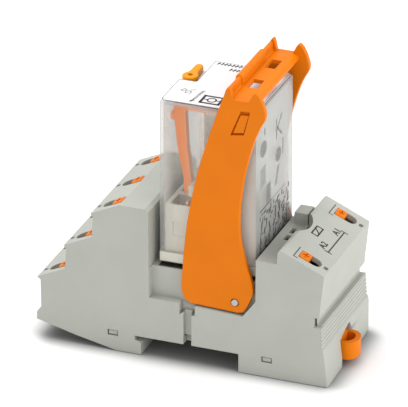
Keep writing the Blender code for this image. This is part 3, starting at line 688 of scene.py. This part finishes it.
def add_catches(piece):
    """A shallow window with a tongue in it, on the outside of each arm."""
    window = [(18.3, 92.4), (21.4, 92.6), (19.3, 84.2), (14.7, 83.5)]
    tongue = [(18.1, 90.9), (20.9, 91.2), (19.2, 84.9), (15.6, 84.3)]
    for side in (-1, 1):
        low, high = sorted((side * (ARM_OUTER - CATCH_DEPTH), side * (ARM_OUTER + 1)))
        cut(piece, [(window, "Y", low, high)])
        low, high = sorted((side * (ARM_OUTER - CATCH_DEPTH - 0.1), side * (ARM_OUTER - 0.2)))
        join(piece, [(tongue, "Y", low, high, 0.1)])


def make_bracket():
    """U-shaped bracket: two arms with rounded rims and a bridge that is hollow below."""
    outline = flat_outlines("bracket", "Y", -ARM_OUTER)[0]
    piece = solid("retaining_bracket", [(outline, "Y", -ARM_OUTER, -ARM_INNER, ARM_RIM)])
    join(piece, [(outline, "Y", ARM_INNER, ARM_OUTER, ARM_RIM)])
    add_bridge(piece)
    add_lugs(piece)
    cut(piece, [(rectangle(*BRIDGE_HOLLOW), "Z", 90.0, HOLLOW_TOP)])
    add_catches(piece)
    cut(piece, [(disc(*PIVOT, PIVOT_HOLE, 40), "Y", -ARM_OUTER - 1, ARM_OUTER + 1)])
    shaded(piece, ORANGE_PLASTIC)
    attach(piece, "bracket")
    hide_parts("bracket")


# ---------------------------------------------------------------- relay

def cover_look(normal, centre):
    """The material of one face of the cover, by the way it faces and its place."""
    if max(abs(c) for c in normal) < 0.98:
        from_corner = max(RELAY_HIGH.x - centre.x, RELAY_HIGH.y - centre.y)
        return COVER_CORNER if from_corner < COVER_EDGE + 0.1 else COVER_RIM
    if abs(normal.z) > 0.9:
        return COVER_RIM
    if abs(normal.x) > 0.9:
        return MILKY_SIDE if centre.x > 0 else MILKY_BACK
    return MILKY_BACK if centre.y > 0 else CLEAR


def make_cover():
    """Moulded cover: clear in front, milky at the coil side and the back."""
    piece = softened_copy("relay_cover", "clear_cover_shell", COVER_EDGE, segments=3)
    shaded(piece, CLEAR)
    for look in COVER_LOOKS[1:]:
        piece.data.materials.append(look)
    for face in piece.data.polygons:
        face.material_index = COVER_LOOKS.index(cover_look(face.normal, face.center / MM))
    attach(piece, "relay")
    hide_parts("relay_cover")


def cover_prints():
    """Faint symbols, a row of strokes and a crowded wiring diagram on the milky side."""
    face = (RELAY_HIGH.x, 0.0, 0.0), (0, 1, 0), (0, 0, 1)
    faint = Marks(*face)
    faint.polygon(disc(-10.2, 75.2, 2.8, 20))
    faint.polygon([(-9.4, 79.6), (-8.4, 79.6), (-8.8, 82.0), (-9.6, 82.0)])
    faint.polygon(disc(3.4, 67.4, 2.5, 20))
    faint.path([(1.6, 73.6), (1.6, 80.0)], 0.8)
    faint.path([(6.4, 80.4), (2.6, 77.0), (6.4, 73.6)], 0.8)
    faint.line((7.6, 66.0), (7.6, 71.0), 0.7)
    for step in range(7):
        faint.line((-12.6, 62.4 + step), (-8.4, 62.7 + step), 0.5)
        faint.line((0.6 + 0.3 * step, 57.6 + 0.9 * step), (2.2 + 0.3 * step, 57.9 + 0.9 * step), 0.55)
    faint.polygon(rectangle(-7.2, -3.6, 54.4, 61.0))
    faint.finish("cover_symbols", "relay", PALE_INK)
    wiring = Marks(*face)
    wiring.line((-13.2, 54.0), (-3.0, 54.0), 0.4)
    wiring.line((-3.0, 54.0), (9.5, 54.0), 0.14)
    scatter = random.Random(7)
    for y in (-12.0, -8.0, -4.0, 0.0, 4.0, 8.0, 12.0):
        for z in range(39, 53):
            if scatter.random() < 0.12:
                continue
            shift = scatter.uniform(-1.3, 1.3)
            width = scatter.uniform(0.35, 0.8)
            if scatter.random() < 0.45:
                wiring.line((y + shift, z), (y + shift, z + 0.9), width)
            else:
                wiring.line((y + shift, z + 0.3), (y + shift + scatter.uniform(0.5, 1.5), z + 0.5), width)
        wiring.line((y - 0.5, 39.6), (y - 0.5, 46.5), 0.22)
    wiring.line((-13.4, 38.8), (14.0, 38.8), 0.9)
    wiring.finish("cover_wiring_diagram", "relay", GREY_INK)


def label_outline():
    """The marking plate's outline, with the notch for the test lever."""
    return round_corners(flat_outlines("relay_label", "Z", RELAY_TOP)[0], LABEL_CORNER)


def make_label():
    """Marking plate with rounded rims."""
    piece = solid("marking_plate", [(label_outline(), "Z", RELAY_TOP - LABEL_THICKNESS, RELAY_TOP, 0.1)])
    shaded(piece, LABEL_WHITE)
    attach(piece, "relay")
    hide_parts("relay_label")


def label_marks():
    """Generic marks: two rows of strokes, a framed lamp symbol and small signs."""
    face = (0.0, 0.0, RELAY_TOP), (1, 0, 0), (0, 1, 0)
    dark = Marks(*face)
    rows = ((14.1, (-2.9, -1.6, -0.4, 0.8, 2.1, 3.3, 4.6, 5.9)), (10.9, (2.4, 3.7, 4.9, 6.1, 7.3)))
    for row, starts in rows:
        for x in starts:
            dark.line((x, row), (x + 0.3, row + 1.5), 0.42)
            dark.line((x + 0.1, row + 0.8), (x + 0.8, row + 0.7), 0.4)
    dark.path([(2.0, -14.6), (8.2, -14.6), (8.2, -9.4), (2.0, -9.4), (2.0, -14.6)], 0.9)
    dark.path(arc(5.1, -12.0, 1.4, 0, 360, 16), 0.45)
    dark.line((2.2, -12.0), (3.7, -12.0), 0.45)
    dark.line((6.5, -12.0), (8.0, -12.0), 0.45)
    dark.line((-1.0, -14.8), (-0.5, -13.8), 0.8)
    dark.finish("label_dark_marks", "relay", INK)
    grey = Marks(*face)
    grey.path([(-6.9, -8.0), (-6.0, -6.8), (-5.1, -7.4), (-6.2, -8.6), (-6.9, -8.0)], 0.3)
    grey.path([(-5.0, -9.6), (-3.2, -9.6), (-3.2, -8.2), (-5.0, -8.2), (-5.0, -9.6)], 0.3)
    grey.line((-4.1, -7.6), (-2.6, -6.2), 0.3)
    # a grey line just inside the plate's edge, which darkens its outline
    grey.path(inset(label_outline(), 0.12), 0.24)
    for step in range(7):
        grey.line((-0.8 + 0.12 * step, -12.8 + step), (-0.2 + 0.12 * step, -12.5 + step), 0.55)
    grey.finish("label_grey_marks", "relay", PALE_INK)


def make_lever():
    """Test lever: round head, straight tail, rounded rims and a hole whose floor has painted shade."""
    low, high = box_mm("test_lever")
    x, y = LEVER_AT
    tail = [(1.5, 3.2), (1.5, 7.9), (1.1, 8.6), (0.4, 9.0)]
    tail += [(-0.3, 9.0), (-0.9, 8.6), (-1.3, 7.9), (-1.4, 3.2)]
    outline = arc(x, y, LEVER_HEAD, 132, 276, 24) + [(x + a, y + b) for a, b in tail]
    piece = solid("test_lever_handle", [(outline, "Z", low.z, high.z, 0.5)])
    cut(piece, [(disc(x, y, LEVER_HOLE), "Z", high.z - LEVER_HOLE, high.z + 1)])
    shaded(piece, LEVER_PLASTIC)
    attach(piece, "test_lever")
    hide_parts("test_lever")
    # painted shade: a dark disc on the hole's floor
    dot = Marks((x, y, high.z - LEVER_HOLE + 0.05), (1, 0, 0), (0, 1, 0))
    dot.polygon(disc(0, 0, LEVER_HOLE - 0.02))
    dot.finish("test_lever_hole_shade", "test_lever", LEVER_HOLE_SHADE)


def make_winding():
    """Coil winding with the ridges of its outer layer of wire."""
    low, high = box_mm("winding")
    centre = (low.z + high.z) / 2
    pitch = 2 * WIRE
    outer = high.z - centre - WIRE
    count = int((high.x - low.x) / pitch)
    profile = [(low.x, WINDING_BORE)]
    for turn in range(count):
        for part in range(4):
            angle = math.pi * part / 4
            x = low.x + pitch * (turn + 0.5 - 0.5 * math.cos(angle))
            profile.append((x, outer + WIRE * math.sin(angle)))
    profile.append((low.x + pitch * count, WINDING_BORE))
    bm = bmesh.new()
    rings = []
    sides = 48
    for i in range(sides):
        turn = 2 * math.pi * i / sides
        rings.append([bm.verts.new(Vector((x, r * math.cos(turn), centre + r * math.sin(turn))) * MM)
                      for x, r in profile])
    for here, ahead in zip(rings, rings[1:] + rings[:1]):
        for j in range(len(profile)):
            k = (j + 1) % len(profile)
            bm.faces.new((here[j], here[k], ahead[k], ahead[j]))
    piece = link_mesh("wound_wire", bm)
    shaded(piece, WINDING_TAPE, 60)
    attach(piece, "relay")
    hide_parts("winding")


def keep_cad_nodes():
    """Give every CAD node a finished material, which shows where no finer piece replaces it."""
    looks = {"copper_alloy": COPPER, "relay_cream": CREAM_PLASTIC, "bright_steel": STEEL,
             "winding_wrap": WINDING_TAPE, "orange_plastic": ORANGE_PLASTIC, "pin_grey": PIN_PLASTIC,
             "housing_grey": GREY_PLASTIC, "clear_cover": CLEAR, "label_white": LABEL_WHITE}
    for part in frame["record"]["subparts"]:
        obj = frame["nodes"][part["node"]]
        obj.data.materials.clear()
        look = INNER_ORANGE if part["node"] == "indicator_arm" else looks[part["material_slot"]]
        obj.data.materials.append(look)


# ---------------------------------------------------------------- stage

def floor_with_painted_shadow():
    """White floor with a painted soft shadow: darker in a band around the object's footprint."""
    n = Nodes("floor_with_painted_shadow")
    outside = n.add("ShaderNodeCombineXYZ")
    for axis, middle, half in zip("XY", FOOT_MIDDLE, FOOT_HALF):
        away = n.maths("ABSOLUTE", n.maths("SUBTRACT", n.along(axis), middle * MM))
        n.link(n.maths("SUBTRACT", away, half * MM, clamp=True), outside.inputs[axis])
    distance = n.add("ShaderNodeVectorMath", operation="LENGTH")
    n.link(outside.outputs["Vector"], distance.inputs[0])
    reach = n.spread(distance.outputs["Value"], 0.0, 1.0, end=BAND * MM, shape="SMOOTHERSTEP")
    # painted shadow: the floor's colour darkens towards the footprint
    tone = n.ramp(reach, FLOOR_SHADOW, FLOOR_PALE, 0.0, 1.0)
    n.link(tone, n.shader.inputs["Base Color"])
    n.shader.inputs["Roughness"].default_value = 0.9
    return n.material


def make_stage():
    """A pale floor with a painted shadow band, an even white surround and two soft lights."""
    bm = bmesh.new()
    bmesh.ops.create_grid(bm, x_segments=1, y_segments=1, size=6.0)
    floor = link_mesh("floor", bm)
    floor.location = (0, 0, -0.0002)
    floor.data.materials.append(floor_with_painted_shadow())
    world = bpy.data.worlds.new("surround")
    world.use_nodes = True
    background = world.node_tree.nodes["Background"]
    background.inputs["Color"].default_value = (1, 1, 1, 1)
    background.inputs["Strength"].default_value = SURROUND
    bpy.context.scene.world = world
    for name, spot, size, energy in LIGHTS:
        data = bpy.data.lights.new(name, "AREA")
        data.energy = energy
        data.size = size
        lamp = new_object(name, data)
        lamp.location = spot
        lamp.rotation_euler = (Vector(LIGHTS_AIM) - Vector(spot)).to_track_quat("-Z", "Y").to_euler()


def make_camera():
    """The camera, on a line from its target at the two angles above."""
    data = bpy.data.cameras.new("camera")
    data.lens = LENS
    data.sensor_width = 36.0
    data.clip_end = 20.0
    camera = new_object("camera", data)
    back = Vector((math.sin(AZIMUTH) * math.cos(ELEVATION), -math.cos(AZIMUTH) * math.cos(ELEVATION),
                   math.sin(ELEVATION)))
    camera.location = (Vector(TARGET) + back * DISTANCE) * MM
    camera.rotation_euler = (-back).to_track_quat("-Z", "Y").to_euler()
    bpy.context.scene.camera = camera


keep_cad_nodes()
make_housing()
paint_recess_shade()
coil_marks()
make_base_plate()
make_rail_foot()
make_buttons()
make_bracket()
make_cover()
cover_prints()
make_label()
label_marks()
make_lever()
make_winding()
make_stage()
make_camera()
bpy.context.scene.view_settings.view_transform = "Standard"
